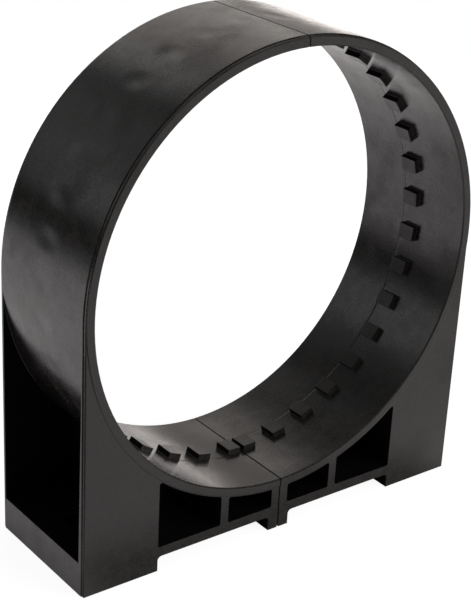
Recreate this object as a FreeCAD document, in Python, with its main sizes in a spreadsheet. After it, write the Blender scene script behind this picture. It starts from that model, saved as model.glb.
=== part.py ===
import FreeCAD, Part
import math
import os
import Sketcher

# Filter mounting clamp
#
# Two equal moulded half shells stand side by side on their feet and close into
# a ring round the filter housing. The second shell is the first one turned half
# round the upright axis. Frame: origin at the middle of the base, Z up, the ring's
# axis along Y, the front face towards -Y. Lengths are in millimetres.

SIZES = {
    # Ring
    "bore_radius": 100.0,
    "ring_wall": 4.8,
    "edge_step": 0.4,
    "edge_band": 1.6,
    "face_step": 0.3,
    "mouth_chamfer": 0.5,
    "clamp_width": 68.4,
    "seam_gap": 0.6,
    # Lugs that key the filter housing
    "lug_count": 18.0,
    "lug_width": 7.0,
    "lug_height": 2.6,
    "lug_length": 9.3,
    "lug_start": 1.0,
    "lug_end": 4.5,
    # Base between the feet
    "arch_height": 7.1,
    "base_wall": 4.8,
    "window_drop": 9.2,
    "window_wall": 4.5,
    "centre_rib": 4.5,
    "centre_foot": 5.7,
    "stay_start": 29.0,
    "stay_wall": 4.2,
    "web_start": 66.7,
    "web_wall": 3.5,
    # Foot with its side pocket
    "plate_wall": 3.6,
    "plate_top": 1.8,
    "thin_wall": 1.6,
    "sill_height": 15.6,
    "sill_wall": 3.0,
    "floor_wall": 5.0,
    "core_rib": 2.5,
    "screw_hole": 9.0,
    "screw_boss": 18.0,
    # Bevelled and rounded edges
    "edge_chamfer": 0.4,
    "seam_round": 0.8,
    "window_round": 1.0,
    "arch_round": 2.0,
}

doc = FreeCAD.newDocument("FilterMountingClamp")
sheet = doc.addObject("Spreadsheet::Sheet", "Sizes")
for row, (name, number) in enumerate(SIZES.items(), start=1):
    sheet.set(f"A{row}", name)
    sheet.set(f"B{row}", str(number))
    sheet.setAlias(f"B{row}", name)
doc.recompute()


class Term:
    """A length or angle with the formula that works it out from the sheet."""

    def __init__(self, value, text):
        self.value = value
        self.text = text

    def __add__(self, other):
        other = term(other)
        return Term(self.value + other.value, f"({self.text} + {other.text})")

    def __sub__(self, other):
        other = term(other)
        return Term(self.value - other.value, f"({self.text} - {other.text})")

    def __mul__(self, other):
        other = term(other)
        return Term(self.value * other.value, f"({self.text} * {other.text})")

    def __truediv__(self, other):
        other = term(other)
        return Term(self.value / other.value, f"({self.text} / {other.text})")

    def __neg__(self):
        return Term(-self.value, f"(0 - {self.text})")


def term(number):
    return number if isinstance(number, Term) else Term(float(number), f"{number}")


def size(name):
    return Term(float(sheet.get(name)), f"Sizes.{name}")


def root(square):
    return Term(math.sqrt(square.value), f"sqrt({square.text})")


def sine(degrees):
    return Term(math.sin(math.radians(degrees.value)), f"sin({degrees.text})")


def cosine(degrees):
    return Term(math.cos(math.radians(degrees.value)), f"cos({degrees.text})")


ZERO = term(0)

# Sizes that follow from the driving ones
bore_radius = size("bore_radius")
ring_radius = bore_radius + size("ring_wall")
band_radius = ring_radius - size("edge_step")
face_radius = band_radius - size("edge_chamfer")
joining_radius = bore_radius + size("ring_wall") / 2
window_radius = bore_radius + size("window_wall")
half_width = size("clamp_width") / 2
face_reach = half_width - size("face_step")
band_back = face_reach - size("edge_band")
thin_back = face_reach - size("thin_wall")
plate_back = face_reach - size("plate_wall")
arch_height = size("arch_height")
base_top = arch_height + size("base_wall")
axis_height = base_top + size("window_drop") + window_radius
centre_rib = size("centre_rib")
centre_foot = size("centre_foot")
stay_start = size("stay_start")
stay_end = stay_start + size("stay_wall")
web_start = size("web_start")
web_end = web_start + size("web_wall")
sill_height = size("sill_height")
core_depth = sill_height - size("floor_wall")
core_end = ring_radius - size("sill_wall")
screw_place = (web_end + ring_radius) / 2
seam_half = size("seam_gap") / 2

DEGREES = term(math.degrees(1.0))
lug_start = size("lug_start") / bore_radius * DEGREES
lug_turn = size("lug_width") / bore_radius * DEGREES
lug_span = term(180) - lug_start - lug_turn - size("lug_end") / bore_radius * DEGREES
tip_radius = bore_radius - size("lug_height")

TOUCH = 1e-4


def new_sketch(body, name, role, up=None, ahead=None):
    """A sketch on one of the body's own origin planes, its centre raised by up and
    its plane moved ahead."""
    sketch = body.newObject("Sketcher::SketchObject", name)
    plane = next(part for part in body.Origin.OriginFeatures if part.Role == role)
    sketch.AttachmentSupport = [(plane, "")]
    sketch.MapMode = "FlatFace"
    if up is not None:
        sketch.setExpression("AttachmentOffset.Base.y", up.text)
    if ahead is not None:
        sketch.setExpression("AttachmentOffset.Base.z", ahead.text)
    return sketch


def hold(sketch, geometry, point, axis, place):
    """Holds one coordinate of a point at a value from the sheet."""
    if place is ZERO:
        line = -2 if axis == "X" else -1
        sketch.addConstraint(Sketcher.Constraint("PointOnObject", geometry, point, line))
        return
    rule = Sketcher.Constraint(f"Distance{axis}", -1, 1, geometry, point, place.value)
    index = sketch.addConstraint(rule)
    sketch.setExpression(f"Constraints[{index}]", place.text)


def add_arc(sketch, start, end, centre, radius):
    """An arc the short way from start to end; gives its index and its two end points."""
    middle = FreeCAD.Vector(centre[0].value, centre[1].value, 0)
    first = math.atan2(start[1].value - middle.y, start[0].value - middle.x)
    last = math.atan2(end[1].value - middle.y, end[0].value - middle.x)
    turn = (last - first) % (2 * math.pi)
    circle = Part.Circle(middle, FreeCAD.Vector(0, 0, 1), radius.value)
    if turn < math.pi:
        geometry = sketch.addGeometry(Part.ArcOfCircle(circle, first, first + turn))
        points = (1, 2)
    else:
        back = 2 * math.pi - turn
        geometry = sketch.addGeometry(Part.ArcOfCircle(circle, last, last + back))
        points = (2, 1)
    hold(sketch, geometry, 3, "X", centre[0])
    hold(sketch, geometry, 3, "Y", centre[1])
    index = sketch.addConstraint(Sketcher.Constraint("Radius", geometry, radius.value))
    sketch.setExpression(f"Constraints[{index}]", radius.text)
    return geometry, points


def outline(sketch, corners, arcs=None):
    """A closed outline. A corner is (x, y) or (x, y, held), where held names the
    coordinates that are set when an arc settles the other one. The side after a corner
    is an arc where arcs gives its centre and radius."""
    arcs = arcs or {}
    sides = []
    for number, start in enumerate(corners):
        end = corners[(number + 1) % len(corners)]
        if number in arcs:
            sides.append(add_arc(sketch, start, end, *arcs[number]))
            continue
        ends = [FreeCAD.Vector(corner[0].value, corner[1].value, 0) for corner in (start, end)]
        sides.append((sketch.addGeometry(Part.LineSegment(*ends)), (1, 2)))
    for number, (geometry, points) in enumerate(sides):
        after, after_points = sides[(number + 1) % len(sides)]
        meeting = Sketcher.Constraint("Coincident", geometry, points[1], after, after_points[0])
        sketch.addConstraint(meeting)
    for (geometry, points), corner in zip(sides, corners):
        held = corner[2] if len(corner) > 2 else "XY"
        for axis, place in zip("XY", corner):
            if axis in held:
                hold(sketch, geometry, points[0], axis, place)


def rectangle(sketch, left, right, low, high):
    outline(sketch, [(left, low), (right, low), (right, high), (left, high)])


def bind(feature, **formulas):
    for name, formula in formulas.items():
        feature.setExpression(name, formula.text)


def pad(body, name, sketch, length, both_ways=False):
    feature = body.newObject("PartDesign::Pad", name)
    feature.Profile = sketch
    feature.SideType = "Symmetric" if both_ways else "One side"
    bind(feature, Length=length)
    doc.recompute()
    return feature


def pocket(body, name, sketch, length, both_ways=False):
    """A cut both ways from the sketch or, from the base plane, upwards."""
    before = body.Shape.Volume
    feature = body.newObject("PartDesign::Pocket", name)
    feature.Profile = sketch
    feature.SideType = "Symmetric" if both_ways else "One side"
    feature.Reversed = not both_ways
    bind(feature, Length=length)
    doc.recompute()
    if body.Shape.Volume > before - 1.0:
        raise ValueError(f"{name} cuts nothing")
    return feature


def edges_along(shape, axis, **places):
    """Names of the straight edges along an axis that lie at the given places."""
    found = []
    for number, edge in enumerate(shape.Edges, start=1):
        ends = [vertex.Point for vertex in edge.Vertexes]
        if len(ends) != 2 or abs(getattr(ends[0], axis) - getattr(ends[1], axis)) < 1.0:
            continue
        misses = [abs(getattr(end, key) - value) for end in ends for key, value in places.items()]
        if max(misses) < TOUCH:
            found.append(f"Edge{number}")
    return found


def round_edges(body, name, edges, radius):
    last = body.Tip
    feature = body.newObject("PartDesign::Fillet", name)
    feature.Base = (last, edges)
    bind(feature, Radius=radius)
    doc.recompute()


def foot_block(body):
    """The full depth block under the ring, on a side foot and half of the middle foot."""
    sketch = new_sketch(body, "FootOutline", "XZ_Plane")
    corners = [
        (ZERO, ZERO),
        (centre_foot, ZERO),
        (centre_foot, arch_height),
        (web_start, arch_height),
        (web_start, ZERO),
        (ring_radius, ZERO),
        (ring_radius, axis_height),
        (joining_radius, axis_height, "Y"),
        (ZERO, axis_height - joining_radius, "X"),
    ]
    outline(sketch, corners, {7: ((ZERO, axis_height), joining_radius)})
    pad(body, "FootBlock", sketch, face_reach * 2, both_ways=True)

    seam = edges_along(body.Shape, "z", x=0.0)
    seam += edges_along(body.Shape, "y", x=0.0, z=0.0)
    round_edges(body, "SeamEdges", seam, size("seam_round"))
    arch = edges_along(body.Shape, "y", x=web_start.value, z=arch_height.value)
    arch += edges_along(body.Shape, "y", x=centre_foot.value, z=arch_height.value)
    round_edges(body, "ArchCorners", arch, size("arch_round"))


def side_edges(body):
    """The outer upright edges are stepped back and bevelled, like the ring's edges."""
    outside = ring_radius + size("sill_wall")
    bevel_back = face_reach - size("edge_chamfer")
    sketch = new_sketch(body, "SideEdgeOutlines", "XY_Plane")
    step = [
        (face_radius, face_reach),
        (band_radius, bevel_back),
        (band_radius, band_back),
        (outside, band_back),
        (outside, half_width),
        (face_radius, half_width),
    ]
    outline(sketch, step)
    outline(sketch, [(across, -along) for across, along in step])
    pocket(body, "SideEdges", sketch, axis_height)


def side_pocket(body):
    """The pocket between the front and back plates, open to the side, over the sill.
    The front plate is thin; the back one is thick at the sill and narrows upwards."""
    sketch = new_sketch(body, "PocketOutline", "YZ_Plane", ahead=web_end)
    corners = [
        (-thin_back, sill_height),
        (plate_back, sill_height),
        (face_reach - size("plate_top"), axis_height),
        (-thin_back, axis_height),
    ]
    outline(sketch, corners)
    pocket(body, "SidePocket", sketch, ring_radius)


def foot_core(body):
    """The foot is hollow below, with ribs and a screw boss that reach the ground."""
    sketch = new_sketch(body, "CoreOutline", "XY_Plane")
    rectangle(sketch, web_end, core_end, -plate_back, plate_back)
    pocket(body, "FootCore", sketch, core_depth)

    rib_half = size("core_rib") / 2
    sketch = new_sketch(body, "LongRibOutline", "XY_Plane")
    middle = (web_end + core_end) / 2
    rectangle(sketch, middle - rib_half, middle + rib_half, -face_reach + rib_half, face_reach - rib_half)
    pad(body, "LongRib", sketch, core_depth)

    sketch = new_sketch(body, "CrossRibOutlines", "XY_Plane")
    for place in (-plate_back / 2, ZERO, plate_back / 2):
        rectangle(sketch, web_end - rib_half, core_end + rib_half, place - rib_half, place + rib_half)
    pad(body, "CrossRibs", sketch, core_depth)

    sketch = new_sketch(body, "BossOutline", "XY_Plane")
    add_circle(sketch, screw_place, size("screw_boss") / 2)
    pad(body, "ScrewBoss", sketch, core_depth)


def add_circle(sketch, place, radius):
    circle = Part.Circle(FreeCAD.Vector(place.value, 0, 0), FreeCAD.Vector(0, 0, 1), radius.value)
    geometry = sketch.addGeometry(circle)
    hold(sketch, geometry, 3, "X", place)
    hold(sketch, geometry, 3, "Y", ZERO)
    index = sketch.addConstraint(Sketcher.Constraint("Radius", geometry, radius.value))
    sketch.setExpression(f"Constraints[{index}]", radius.text)


def ring(body):
    """Half of the ring, turned from its section. Near both ends the wall is stepped back
    and bevelled."""
    sketch = new_sketch(body, "RingSection", "YZ_Plane", up=axis_height)
    mouth = size("mouth_chamfer")
    back = [
        (half_width, bore_radius + mouth),
        (half_width, face_radius),
        (face_reach, face_radius),
        (face_reach - size("edge_chamfer"), band_radius),
        (band_back, band_radius),
        (band_back, ring_radius),
    ]
    front = [(-along, out) for along, out in reversed(back)]
    bore = [(-half_width + mouth, bore_radius), (half_width - mouth, bore_radius)]
    outline(sketch, back + front + bore)
    feature = body.newObject("PartDesign::Revolution", "Ring")
    feature.Profile = sketch
    feature.ReferenceAxis = (sketch, ["H_Axis"])
    feature.Angle = 180.0
    doc.recompute()


def windows(body):
    """Two openings right through, between the ribs and under the ring's wall."""
    sketch = new_sketch(body, "WindowOutlines", "XZ_Plane")
    square = window_radius * window_radius
    edges = []
    for left, right in ((centre_rib, stay_start), (stay_end, web_start)):
        left_top = axis_height - root(square - left * left)
        right_top = axis_height - root(square - right * right)
        corners = [
            (left, base_top),
            (right, base_top),
            (right, right_top, "X"),
            (left, left_top, "X"),
        ]
        outline(sketch, corners, {2: ((ZERO, axis_height), window_radius)})
        edges += [(left, base_top), (right, base_top), (right, right_top), (left, left_top)]
    pocket(body, "Windows", sketch, size("clamp_width"), both_ways=True)

    names = []
    for across, height in edges:
        names += edges_along(body.Shape, "y", x=across.value, z=height.value)
    round_edges(body, "WindowCorners", names, size("window_round"))


def lugs(body):
    """A row of lugs inside the ring, evenly spaced from the lower seam to the upper one."""
    sketch = new_sketch(body, "LugOutline", "XZ_Plane", up=axis_height)
    near, far = lug_start, lug_start + lug_turn
    corners = [
        (tip_radius * sine(near), -(tip_radius * cosine(near)), "X"),
        (tip_radius * sine(far), -(tip_radius * cosine(far)), "X"),
        (joining_radius * sine(far), -(joining_radius * cosine(far)), "X"),
        (joining_radius * sine(near), -(joining_radius * cosine(near)), "X"),
    ]
    centre = (ZERO, ZERO)
    outline(sketch, corners, {0: (centre, tip_radius), 2: (centre, joining_radius)})
    first = pad(body, "FirstLug", sketch, size("lug_length"), both_ways=True)
    pattern = body.newObject("PartDesign::PolarPattern", "Lugs")
    pattern.Originals = [first]
    pattern.Axis = (sketch, ["N_Axis"])
    bind(pattern, Angle=lug_span, Occurrences=size("lug_count"))
    body.Tip = pattern
    doc.recompute()


def screw_hole(body):
    """The hole for the holding down screw, from the pocket floor to the ground."""
    sketch = new_sketch(body, "HolePlace", "XY_Plane")
    add_circle(sketch, screw_place, size("screw_hole") / 2)
    doc.recompute()
    before = body.Shape.Volume
    feature = body.newObject("PartDesign::Hole", "ScrewHole")
    feature.Profile = sketch
    feature.DepthType = "Dimension"
    feature.Reversed = True
    feature.DrillPoint = "Flat"
    bind(feature, Diameter=size("screw_hole"), Depth=sill_height + size("floor_wall"))
    doc.recompute()
    if body.Shape.Volume > before - 1.0:
        raise ValueError("the screw hole cuts nothing")


def seam_relief(body):
    """The ring's ends stop short of the seam, so that the shells can close on a housing."""
    sketch = new_sketch(body, "SeamOutline", "XZ_Plane")
    rectangle(sketch, ZERO, seam_half, axis_height - ring_radius, axis_height + ring_radius)
    pocket(body, "SeamRelief", sketch, size("clamp_width"), both_ways=True)


def half_shell(label, turn):
    body = doc.addObject("PartDesign::Body", label)
    body.Label = label
    foot_block(body)
    side_edges(body)
    side_pocket(body)
    foot_core(body)
    ring(body)
    windows(body)
    lugs(body)
    screw_hole(body)
    seam_relief(body)
    upright = FreeCAD.Rotation(FreeCAD.Vector(0, 0, 1), turn)
    body.Placement = FreeCAD.Placement(FreeCAD.Vector(0, 0, 0), upright)
    return body


shells = [half_shell("right_half_shell", 0.0), half_shell("left_half_shell", 180.0)]
doc.recompute()

for item in doc.Objects:
    if "Invalid" in item.State or "Error" in item.State:
        raise ValueError(f"{item.Name} failed: {item.State}")
os.makedirs("parts", exist_ok=True)
for shell in shells:
    shape = shell.Shape
    if shape.isNull() or not shape.isValid() or len(shape.Solids) != 1:
        raise ValueError(f"{shell.Label} is not one sound solid")
    print(shell.Label, round(shape.Volume), shape.BoundBox)
    shape.exportStep(f"parts/{shell.Label}.step")
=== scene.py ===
"""Filter mounting clamp: the finish of its two moulded half shells, a pale floor,
soft studio light and the camera."""
import math

import bmesh
import bpy
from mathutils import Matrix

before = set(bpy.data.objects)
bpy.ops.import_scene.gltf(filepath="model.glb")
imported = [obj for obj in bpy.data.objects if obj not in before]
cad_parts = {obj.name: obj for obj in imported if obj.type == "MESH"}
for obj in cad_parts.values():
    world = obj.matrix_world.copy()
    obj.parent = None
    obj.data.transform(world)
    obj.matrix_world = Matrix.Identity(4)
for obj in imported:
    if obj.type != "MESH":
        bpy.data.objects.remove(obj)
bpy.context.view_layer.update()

MM = 0.001

# Where the clamp's features lie, as its CAD source has them
AXIS_HEIGHT = 125.6 * MM
BORE_RADIUS = 100.0 * MM
RING_RADIUS = 104.8 * MM
SIDE_REACH = RING_RADIUS
PLATE_REACH = 33.9 * MM
LUG_COUNT = 18
LUG_WIDTH = 7.0 * MM
LUG_HEIGHT = 2.6 * MM
LUG_START = 1.0 * MM
LUG_END = 4.5 * MM

# Marks that the mould leaves
BORE_LINE = 5.7 * MM
LINE_WIDTH = 0.8 * MM
LINE_DEPTH = 0.12 * MM
SINK_LENGTH = 20.0 * MM
SINK_SPREAD = 0.34
SINK_DEPTH = 0.22 * MM

# Where each mask begins and where it is full: by the distance from the ring's axis
IN_BORE = (BORE_RADIUS + 0.2 * MM, BORE_RADIUS + 0.1 * MM)
OFF_BORE = (BORE_RADIUS - 0.1 * MM, BORE_RADIUS - 0.3 * MM)
AT_TIP = (BORE_RADIUS - LUG_HEIGHT + 0.6 * MM, BORE_RADIUS - LUG_HEIGHT + 0.2 * MM)
ON_OUTSIDE = (RING_RADIUS - 1.5 * MM, RING_RADIUS - 1.0 * MM)
PAST_OUTSIDE = (RING_RADIUS + 0.1 * MM, RING_RADIUS + 0.4 * MM)

# By the distance from the seam, along the axis, and above the axis
BY_WINDOWS = (74.0 * MM, 72.0 * MM)
WINDOW_MARGIN = 0.6 * MM
WITHIN_SIDES = (SIDE_REACH - 0.3 * MM, SIDE_REACH - 0.6 * MM)
BEHIND_PLATES = (PLATE_REACH - 0.05 * MM, PLATE_REACH - 0.3 * MM)
BELOW_AXIS = (0.0, -2.0 * MM)

# On the lugs' side faces, where shade is painted, in shares of the pitch
FLANK_MARGIN = 0.008
FLANK_FADE = 0.004

# Plastic
FRESH = (0.019, 0.0175, 0.0168)
WORN = (0.037, 0.0333, 0.0310)
# Near-black colour of the shade painted into the foot's windows and side pocket and onto the lugs'
# side faces
PAINTED_SHADE_COLOUR = (0.005, 0.005, 0.0055)
REFRACTION = 1.5
EDGE_ROUND = 0.4 * MM
EDGE_SAMPLES = 6

# Its noises, by how often they change in a metre, and the height of those that are felt
FLOW = 34.0
FLOW_HEIGHT = 0.24 * MM
CLOUD = 150.0
SPECKLE = 900.0
SPECKLE_HEIGHT = 0.025 * MM
GRAIN = 2600.0
GRAIN_HEIGHT = 0.030 * MM
NOISE_ROUGHNESS = 0.6
WORN_LEVELS = (0.38, 0.62)
DULL_LEVELS = (0.50, 0.72)

# Its roughness and its shine, with what each kind of place adds to them or, where the name
# ends in SHARE, by what share it changes them
ROUGHNESS = 0.16
DULL_ROUGHNESS = 0.10
WORN_ROUGHNESS = 0.06
# Rougher where shade is painted
PAINTED_SHADE_ROUGHNESS = 0.3
SHINE = 0.62
DULL_SHINE = -0.14
WORN_SHINE = -0.16
TIP_DULLNESS = 1.5
LINE_SHINE_SHARE = -0.6
# Less shine where shade is painted
PAINTED_SHADE_SHINE_SHARE = -0.8

# Floor
FLOOR_RADIUS = 0.85
FLOOR_SEGMENTS = 128
FLOOR_LIFT = -0.2 * MM
MIRRORED_GLOW = 0.53
SEEN_GLOW = 0.92
PAPER = 0.8
SEEN_PAPER = 0.35
MIRRORED_PAPER = 0.5
# Paper in reflections where shade is painted
DIM_PAPER = 0.15

# Zones of painted shadow, shade and light on the floor in reflections: where each begins and is
# full, in metres from the middle, and by what share it changes the brightness
UNDER_SIDE = (0.120, 0.080)
UNDER_FACE = (0.085, 0.040)
UNDER_SHARE = -0.95
BEFORE = (-0.03, -0.10)
BEFORE_SHARE = -0.05
BEHIND = (0.10, 0.20)
BEHIND_SHARE = 0.6
FAR_BEFORE = (-0.25, -0.60)
FAR_SHARE = -0.4
SHADE_AZIMUTH = 222.0
SHADE_START = (0.12, 0.22)
SHADE_SPREAD = (0.75, 0.35)
SHADE_SHARE = -0.85

# Room around the clamp: its brightness in each direction, from 0 straight down over 0.5 at
# the horizon to 1 straight up
ROOM_LEVELS = (
    (0.0, 0.7),
    (0.42, 0.7),
    (0.455, 0.05),
    (0.51, 0.03),
    (0.57, 0.05),
    (0.80, 0.06),
    (1.0, 0.15),
)

# Light
LAMP_DISTANCE = 2.0
WHITE = (1.0, 1.0, 1.0)
WARM = (1.0, 0.93, 0.88)
ROSY = (1.0, 0.945, 0.955)

# Camera
CAMERA_PLACE = (-0.39719, -0.50362, 0.38563)
CAMERA_TURN = (66.05, -2.6714, -36.7447)
CAMERA_LENS = 93.563
CAMERA_SENSOR = 36.0
CAMERA_CLIP = 10.0 * MM


def grey(level):
    return (level, level, level)


class Shader:
    """A node tree, with short ways to add nodes and join them."""

    def __init__(self, tree):
        self.tree = tree
        tree.nodes.clear()

    def node(self, kind, **settings):
        made = self.tree.nodes.new(kind)
        for name, value in settings.items():
            setattr(made, name, value)
        return made

    def join(self, source, target):
        self.tree.links.new(source, target)

    def put(self, value, socket):
        """Sets a number or a colour on the socket, or joins the output that makes it."""
        if isinstance(value, tuple):
            socket.default_value = value + (1.0,)
        elif isinstance(value, (int, float)):
            socket.default_value = value
        else:
            self.join(value, socket)

    def math(self, operation, first, second=0.0, third=0.0):
        made = self.node("ShaderNodeMath", operation=operation)
        for value, socket in zip((first, second, third), made.inputs):
            self.put(value, socket)
        return made.outputs[0]

    def times(self, first, second):
        return self.math("MULTIPLY", first, second)

    def add(self, value, mask, amount):
        """The value, with the amount added where the mask is 1."""
        return self.math("MULTIPLY_ADD", mask, amount, value)

    def scale(self, value, mask, share):
        """The value, changed by this share of it where the mask is 1."""
        return self.times(value, self.add(1.0, mask, share))

    def size(self, value):
        return self.math("ABSOLUTE", value)

    def fade(self, value, start, end):
        """0 at start and 1 at end, eased between them."""
        made = self.node("ShaderNodeMapRange", interpolation_type="SMOOTHSTEP")
        self.put(value, made.inputs["Value"])
        made.inputs["From Min"].default_value = start
        made.inputs["From Max"].default_value = end
        return made.outputs[0]

    def band(self, value, width):
        """1 at 0, fading to 0 at half of the width to each side."""
        return self.fade(self.size(value), width / 2, 0.0)

    def split(self, vector):
        parts = self.node("ShaderNodeSeparateXYZ")
        self.join(vector, parts.inputs[0])
        return parts.outputs

    def noise(self, place, scale, detail=2.0, roughness=0.5):
        made = self.node("ShaderNodeTexNoise")
        self.join(place, made.inputs["Vector"])
        made.inputs["Scale"].default_value = scale
        made.inputs["Detail"].default_value = detail
        made.inputs["Roughness"].default_value = roughness
        return made.outputs["Fac"]

    def mix_colour(self, factor, first, second):
        made = self.node("ShaderNodeMix", data_type="RGBA")
        self.put(factor, made.inputs["Factor"])
        self.put(first, made.inputs["A"])
        self.put(second, made.inputs["B"])
        return made.outputs["Result"]

    def choose(self, factor, first, second):
        """The first shader where the factor is 0, and the second where it is 1."""
        mix = self.node("ShaderNodeMixShader")
        self.join(factor, mix.inputs[0])
        self.join(first, mix.inputs[1])
        self.join(second, mix.inputs[2])
        return mix.outputs[0]

    def finish(self, kind, result):
        output = self.node(kind)
        self.join(result, output.inputs["Surface"])


def new_material(name):
    material = bpy.data.materials.new(name)
    material.use_nodes = True
    return material, Shader(material.node_tree)


def place_in_shell(shader, place):
    """How far a point is across from the seam, along the ring's axis, above that axis and
    out from it. Both shells come from one mould, half a turn apart, so along is counted
    the other way round in the left one."""
    across, along, height = shader.split(place)
    side = shader.math("SIGN", across)
    across = shader.times(across, side)
    along = shader.times(along, side)
    height = shader.math("SUBTRACT", height, AXIS_HEIGHT)
    square = shader.times(across, across)
    out = shader.math("SQRT", shader.math("MULTIPLY_ADD", height, height, square))
    return across, along, height, out


def lug_pitch():
    """The turn from one lug to the next, from the bottom seam up to the top one."""
    taken = (LUG_START + LUG_WIDTH + LUG_END) / BORE_RADIUS
    return (math.pi - taken) / (LUG_COUNT - 1)


def from_lug(shader, across, height):
    """How far a point is from the middle of the nearest lug, as a share of their pitch."""
    turn = shader.math("ARCTAN2", height, across)
    first = math.pi / 2 - (LUG_START + LUG_WIDTH / 2) / BORE_RADIUS
    step = shader.math("DIVIDE", shader.math("ADD", turn, first), lug_pitch())
    return shader.size(shader.math("SUBTRACT", step, shader.math("ROUND", step)))


def shaded_recesses(shader, across, along, height, out):
    """1 in the windows and the side pocket, where shade is painted: outside the ring, below its
    axis, and inside the foot's plates and sides."""
    windows = shader.fade(across, *BY_WINDOWS)
    recess_shade = shader.fade(shader.add(out, windows, WINDOW_MARGIN), *PAST_OUTSIDE)
    recess_shade = shader.times(recess_shade, shader.fade(height, *BELOW_AXIS))
    recess_shade = shader.times(recess_shade, shader.fade(shader.size(along), *BEHIND_PLATES))
    return shader.times(recess_shade, shader.fade(across, *WITHIN_SIDES))


def mould_marks_and_painted_shade(shader, place):
    """Masks from 0 to 1: the line that the mould's insert left in the bore, the wall that has sunk
    behind the lugs, the lugs' tips, and the places where shade is painted, which are the cored
    foot's windows and pocket and the lugs' side faces."""
    across, along, height, out = place_in_shell(shader, place)
    from_line = shader.math("SUBTRACT", along, BORE_LINE)
    line = shader.times(shader.band(from_line, LINE_WIDTH), shader.fade(out, *IN_BORE))

    miss = from_lug(shader, across, height)
    sink = shader.times(shader.fade(miss, SINK_SPREAD, 0.0), shader.band(along, SINK_LENGTH))
    sink = shader.times(sink, shader.fade(out, *ON_OUTSIDE))
    tip = shader.fade(out, *AT_TIP)

    # Painted shade on the lugs' side faces
    flank = LUG_WIDTH / 2 / BORE_RADIUS / lug_pitch() - FLANK_MARGIN
    flank_shade = shader.fade(miss, flank, flank + FLANK_FADE)
    flank_shade = shader.times(flank_shade, shader.fade(out, *OFF_BORE))
    recess_shade = shaded_recesses(shader, across, along, height, out)
    return line, sink, tip, shader.math("MAXIMUM", recess_shade, flank_shade)


def moulded_plastic():
    """Black glass-filled plastic: satin, with a spark-eroded grain, flow marks, and duller where it
    has been rubbed. Shade is painted near-black and less shiny into the foot's windows and side
    pocket and onto the lugs' side faces."""
    material, shader = new_material("moulded_plastic")
    place = shader.node("ShaderNodeTexCoord").outputs["Object"]
    line, sink, tip, painted_shade = mould_marks_and_painted_shade(shader, place)

    flow = shader.noise(place, FLOW)
    cloud = shader.noise(place, CLOUD, detail=3.0, roughness=NOISE_ROUGHNESS)
    speckle = shader.noise(place, SPECKLE, roughness=NOISE_ROUGHNESS)
    grain = shader.noise(place, GRAIN, roughness=NOISE_ROUGHNESS)

    heights = shader.times(grain, GRAIN_HEIGHT)
    heights = shader.add(heights, speckle, SPECKLE_HEIGHT)
    heights = shader.add(heights, flow, FLOW_HEIGHT)
    heights = shader.add(heights, line, -LINE_DEPTH)
    heights = shader.add(heights, sink, -SINK_DEPTH)

    edges = shader.node("ShaderNodeBevel", samples=EDGE_SAMPLES)
    shader.join(shader.add(EDGE_ROUND, painted_shade, -EDGE_ROUND), edges.inputs["Radius"])
    bump = shader.node("ShaderNodeBump")
    bump.inputs["Strength"].default_value = 1.0
    bump.inputs["Distance"].default_value = 1.0
    shader.join(heights, bump.inputs["Height"])
    shader.join(edges.outputs[0], bump.inputs["Normal"])

    worn = shader.fade(shader.times(shader.math("ADD", speckle, cloud), 0.5), *WORN_LEVELS)
    dull = shader.math("MAXIMUM", shader.fade(flow, *DULL_LEVELS), shader.times(tip, TIP_DULLNESS))
    colour = shader.mix_colour(worn, FRESH, WORN)
    # Painted shade: near-black in the windows, the side pocket and on the lugs' side faces
    colour = shader.mix_colour(painted_shade, colour, PAINTED_SHADE_COLOUR)
    rough = shader.add(ROUGHNESS, dull, DULL_ROUGHNESS)
    rough = shader.add(rough, worn, WORN_ROUGHNESS)
    rough = shader.add(rough, painted_shade, PAINTED_SHADE_ROUGHNESS)
    shine = shader.add(SHINE, dull, DULL_SHINE)
    shine = shader.add(shine, worn, WORN_SHINE)
    shine = shader.scale(shine, line, LINE_SHINE_SHARE)
    shine = shader.scale(shine, painted_shade, PAINTED_SHADE_SHINE_SHARE)

    plastic = shader.node("ShaderNodeBsdfPrincipled")
    plastic.inputs["IOR"].default_value = REFRACTION
    shader.join(colour, plastic.inputs["Base Color"])
    shader.join(rough, plastic.inputs["Roughness"])
    shader.join(shine, plastic.inputs["Specular IOR Level"])
    shader.join(bump.outputs[0], plastic.inputs["Normal"])
    shader.finish("ShaderNodeOutputMaterial", plastic.outputs[0])
    return material


def floor_zones(shader):
    """How bright the floor is in reflections, and a mask of the part that also takes less light,
    where its paper is darker. They paint a shadow under the object, shade in a wedge towards the
    camera, before the object and far before it, and light behind it."""
    across, along, _ = shader.split(shader.node("ShaderNodeTexCoord").outputs["Object"])
    from_side = shader.fade(shader.size(across), *UNDER_SIDE)
    from_face = shader.fade(shader.size(along), *UNDER_FACE)
    under = shader.times(from_side, from_face)

    turn = math.radians(SHADE_AZIMUTH)
    ahead = shader.add(shader.times(across, math.cos(turn)), along, math.sin(turn))
    aside = shader.add(shader.times(across, -math.sin(turn)), along, math.cos(turn))
    spread = shader.math("DIVIDE", shader.size(aside), ahead)
    shade = shader.times(shader.fade(ahead, *SHADE_START), shader.fade(spread, *SHADE_SPREAD))

    before = shader.fade(along, *BEFORE)
    # Painted shadow under the object, painted shade before it, far before it and towards the camera,
    # and painted light behind it
    bright = shader.add(1.0, under, UNDER_SHARE)
    bright = shader.scale(bright, before, BEFORE_SHARE)
    bright = shader.scale(bright, shader.fade(along, *BEHIND), BEHIND_SHARE)
    bright = shader.scale(bright, shader.fade(along, *FAR_BEFORE), FAR_SHARE)
    bright = shader.scale(bright, shade, SHADE_SHARE)
    return bright, shader.math("MAXIMUM", shade, before)


def paper(shader, colour):
    made = shader.node("ShaderNodeBsdfDiffuse")
    shader.put(colour, made.inputs["Color"])
    return made.outputs[0]


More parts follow.
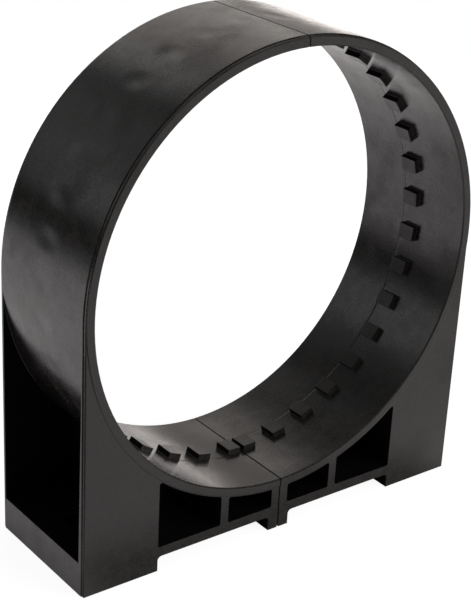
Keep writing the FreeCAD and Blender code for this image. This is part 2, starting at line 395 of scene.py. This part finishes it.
def glowing(shader, surface, strength, colour):
    """The surface, with its own even glow added."""
    glow = shader.node("ShaderNodeEmission")
    shader.put(colour, glow.inputs["Color"])
    shader.put(strength, glow.inputs["Strength"])
    both = shader.node("ShaderNodeAddShader")
    shader.join(surface, both.inputs[0])
    shader.join(glow.outputs[0], both.inputs[1])
    return both.outputs[0]


def pale_floor():
    """A white floor. The camera sees it white, apart from a very faint shadow. Reflections show it
    with painted shadow, shade and light in zones, and it is plain paper for all other light."""
    material, shader = new_material("pale_floor")
    bright, dim = floor_zones(shader)
    # In reflections: darker paper as painted shade, and a glow with painted shadow and light
    mirrored = paper(shader, shader.mix_colour(dim, grey(MIRRORED_PAPER), grey(DIM_PAPER)))
    mirrored = glowing(shader, mirrored, shader.times(bright, MIRRORED_GLOW), ROSY)
    seen = glowing(shader, paper(shader, grey(SEEN_PAPER)), SEEN_GLOW, WHITE)

    rays = shader.node("ShaderNodeLightPath").outputs
    result = shader.choose(rays["Is Glossy Ray"], paper(shader, grey(PAPER)), mirrored)
    camera_side = shader.math("MAXIMUM", rays["Is Camera Ray"], rays["Is Transmission Ray"])
    shader.finish("ShaderNodeOutputMaterial", shader.choose(camera_side, result, seen))
    return material


def add_floor():
    mesh = bpy.data.meshes.new("floor")
    shape = bmesh.new()
    bmesh.ops.create_circle(shape, cap_ends=True, radius=FLOOR_RADIUS, segments=FLOOR_SEGMENTS)
    shape.to_mesh(mesh)
    shape.free()
    floor = bpy.data.objects.new("floor", mesh)
    floor.location.z = FLOOR_LIFT
    bpy.context.scene.collection.objects.link(floor)
    mesh.materials.append(pale_floor())


def background(shader, colour):
    made = shader.node("ShaderNodeBackground")
    shader.put(colour, made.inputs["Color"])
    return made.outputs[0]


def studio_world():
    """White behind the object; for its light and reflections, a room that is bright far
    below, dark at the horizon and a little lighter overhead."""
    world = bpy.data.worlds.new("studio")
    world.use_nodes = True
    bpy.context.scene.world = world
    shader = Shader(world.node_tree)
    rise = shader.split(shader.node("ShaderNodeTexCoord").outputs["Generated"])["Z"]
    ramp = shader.node("ShaderNodeValToRGB")
    ramp.color_ramp.interpolation = "EASE"
    stops = ramp.color_ramp.elements
    while len(stops) < len(ROOM_LEVELS):
        stops.new(0.5)
    for stop, (position, level) in zip(stops, ROOM_LEVELS):
        stop.position = position
        stop.color = grey(level) + (1.0,)
    shader.join(shader.math("MULTIPLY_ADD", rise, 0.5, 0.5), ramp.inputs[0])

    room = background(shader, ramp.outputs[0])
    white = background(shader, WHITE)
    rays = shader.node("ShaderNodeLightPath").outputs
    shader.finish("ShaderNodeOutputWorld", shader.choose(rays["Is Camera Ray"], room, white))


def softbox(
    name, azimuth, elevation, width, height, radiance,
    colour=WHITE, distance=LAMP_DISTANCE, mirrored=True,
):
    """A rectangular soft light that faces the middle of the ring. Where mirrored is False,
    it only lights, and shows in no reflection."""
    lamp = bpy.data.lights.new(name, "AREA")
    lamp.shape = "RECTANGLE"
    lamp.color = colour
    lamp.size = width
    lamp.size_y = height
    lamp.energy = radiance * math.pi * width * height
    light = bpy.data.objects.new(name, lamp)
    turn, rise = math.radians(azimuth), math.radians(elevation)
    light.location = (
        distance * math.cos(rise) * math.cos(turn),
        distance * math.cos(rise) * math.sin(turn),
        AXIS_HEIGHT + distance * math.sin(rise),
    )
    light.rotation_euler = (math.pi / 2 - rise, 0.0, turn + math.pi / 2)
    light.visible_camera = False
    light.visible_glossy = mirrored
    bpy.context.scene.collection.objects.link(light)


def add_lights():
    softbox("light_behind_right", 69, 21, width=1.2, height=1.35, radiance=0.88, colour=WARM)
    softbox("light_behind_edge", 45, 19, width=0.5, height=1.45, radiance=0.5, colour=WARM)
    softbox("light_behind_low", 49, -4, width=0.8, height=0.48, radiance=1.7, colour=WARM)
    softbox("light_behind_middle", 91, 36, width=0.45, height=0.5, radiance=0.45)
    softbox("light_behind_dim", 114, 26, width=0.7, height=0.8, radiance=0.24)
    softbox("light_behind_left", 142, 20, width=1.1, height=0.8, radiance=0.66)
    softbox("light_overhead", 25, 64, width=1.2, height=1.2, radiance=0.5, colour=WARM, distance=1.6)
    softbox("light_front_left", -125, 50, width=1.0, height=1.0, radiance=0.5)
    softbox("light_front_right", -57, 10, width=2.2, height=1.2, radiance=3.7, mirrored=False)


def add_camera():
    lens = bpy.data.cameras.new("camera")
    lens.lens = CAMERA_LENS
    lens.sensor_width = CAMERA_SENSOR
    lens.clip_start = CAMERA_CLIP
    camera = bpy.data.objects.new("camera", lens)
    camera.location = CAMERA_PLACE
    camera.rotation_euler = [math.radians(angle) for angle in CAMERA_TURN]
    bpy.context.scene.collection.objects.link(camera)
    bpy.context.scene.camera = camera


plastic = moulded_plastic()
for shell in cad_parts.values():
    shell.data.materials.clear()
    shell.data.materials.append(plastic)

add_floor()
studio_world()
add_lights()
add_camera()
bpy.context.scene.view_settings.view_transform = "Standard"
